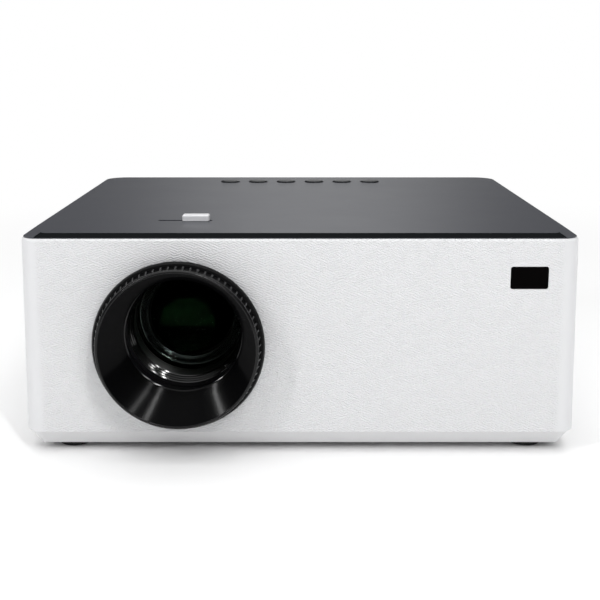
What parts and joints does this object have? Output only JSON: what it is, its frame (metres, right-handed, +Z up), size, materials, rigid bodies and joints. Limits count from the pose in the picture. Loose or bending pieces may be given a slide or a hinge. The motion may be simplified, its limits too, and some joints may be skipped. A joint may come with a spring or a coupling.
{
  "type": "projector",
  "caption": "Desktop home projector with LED lamp, LCD panel, turning focus ring, keystone slider and press keys.",
  "frame": {"origin": "on the table, under the middle of the whole object's box", "axes": "+X to the right as seen from the front, +Y towards the rear, +Z up; the lens looks along -Y"},
  "size_m": [0.2372, 0.228, 0.0978],
  "materials": {
    "white_shell": "fine leather-like emboss",
    "dark_top": "satin gloss",
    "black_trim": "gloss",
    "focus_black": "satin",
    "inner_black": "matt",
    "optic_glass": "polished, coated",
    "mirror": "front-silvered",
    "foot_rubber": "matt",
    "white_tab": "satin gloss",
    "key_grey": "satin gloss",
    "steel": "plain",
    "brass": "turned",
    "aluminium": "extruded",
    "board_green": "coated laminate",
    "board_parts": "mixed",
    "led_yellow": "phosphor"
  },
  "bodies": {
    "case": {"front_panel": "white_shell", "left_side_panel": "white_shell", "right_side_panel": "white_shell", "rear_panel": "white_shell", "base_cover": "white_shell", "top_cover": "dark_top", "front_trim_strip": "black_trim", "ir_window": "black_trim", "lens_tube": "inner_black", "engine_housing": "inner_black", "engine_lid": "inner_black", "lamp_plate": "inner_black", "fan_frame": "inner_black", "key_switches": "inner_black", "audio_sockets": "inner_black", "mains_inlet": "inner_black", "speaker_basket": "inner_black", "speaker_cone": "inner_black", "condenser_lens": "optic_glass", "collimating_lens": "optic_glass", "fold_mirror": "mirror", "foot_front_left": "foot_rubber", "foot_front_right": "foot_rubber", "foot_rear_left": "foot_rubber", "foot_rear_right": "foot_rubber", "case_screws": "steel", "tube_screws": "steel", "hdmi_sockets": "steel", "usb_sockets": "steel", "tripod_insert": "brass", "heat_sink": "aluminium", "main_board": "board_green", "power_board": "board_green", "key_board": "board_green", "ir_receiver": "board_green", "led_board": "board_green", "main_board_parts": "board_parts", "power_board_parts": "board_parts", "led_emitter": "led_yellow"},
    "focus_ring": {"focus_ring": "focus_black"},
    "lens_barrel": {"lens_barrel": "inner_black", "guide_pins": "steel", "front_lens": "optic_glass", "middle_lens": "optic_glass", "rear_lens": "optic_glass", "lens_retaining_ring": "inner_black", "rear_retaining_ring": "inner_black"},
    "keystone_slide": {"keystone_slider": "white_tab", "keystone_link": "steel"},
    "keystone_tilt": {"keystone_frame": "inner_black", "lcd_panel": "optic_glass", "field_lens": "optic_glass"},
    "fan": {"fan_impeller": "inner_black", "fan_shaft": "steel"},
    "key_1": {"key_1": "key_grey"},
    "key_2": {"key_2": "key_grey"},
    "key_3": {"key_3": "key_grey"},
    "key_4": {"key_4": "key_grey"},
    "key_5": {"key_5": "key_grey"},
    "key_6": {"key_6": "key_grey"}
  },
  "joints": [
    {"name": "focus_turn", "type": "hinge", "parent": "case", "child": "focus_ring", "pos_m": [-0.0509, -0.101, 0.0497], "axis": [0, 1, 0], "range_deg": [-75, 75]},
    {"name": "focus_slide", "type": "slide", "parent": "case", "child": "lens_barrel", "axis": [0, 1, 0], "range_m": [-0.00351, 0.00351]},
    {"name": "keystone_slide", "type": "slide", "parent": "case", "child": "keystone_slide", "axis": [1, 0, 0], "range_m": [-0.011, 0.0015]},
    {"name": "keystone_tilt", "type": "hinge", "parent": "case", "child": "keystone_tilt", "pos_m": [0.012, 0.032, 0.024], "axis": [0, 1, 0], "range_deg": [-9.97, 1.37]},
    {"name": "fan_spin", "type": "hinge", "parent": "case", "child": "fan", "pos_m": [0.1058, 0.032, 0.0497], "axis": [1, 0, 0], "continuous": true},
    {"name": "key_1_press", "type": "slide", "parent": "case", "child": "key_1", "axis": [0, 0, -1], "range_m": [0, 0.0006], "stiffness_N_per_m": 1000, "springref_m": -0.0003},
    {"name": "key_2_press", "type": "slide", "parent": "case", "child": "key_2", "axis": [0, 0, -1], "range_m": [0, 0.0006], "stiffness_N_per_m": 1000, "springref_m": -0.0003},
    {"name": "key_3_press", "type": "slide", "parent": "case", "child": "key_3", "axis": [0, 0, -1], "range_m": [0, 0.0006], "stiffness_N_per_m": 1000, "springref_m": -0.0003},
    {"name": "key_4_press", "type": "slide", "parent": "case", "child": "key_4", "axis": [0, 0, -1], "range_m": [0, 0.0006], "stiffness_N_per_m": 1000, "springref_m": -0.0003},
    {"name": "key_5_press", "type": "slide", "parent": "case", "child": "key_5", "axis": [0, 0, -1], "range_m": [0, 0.0006], "stiffness_N_per_m": 1000, "springref_m": -0.0003},
    {"name": "key_6_press", "type": "slide", "parent": "case", "child": "key_6", "axis": [0, 0, -1], "range_m": [0, 0.0006], "stiffness_N_per_m": 1000, "springref_m": -0.0003}
  ],
  "couplings": [
    {"joint": "focus_slide", "follows": "focus_turn", "m_per_rad": 0.0026738},
    {"joint": "keystone_tilt", "follows": "keystone_slide", "rad_per_m": 15.81}
  ]
}
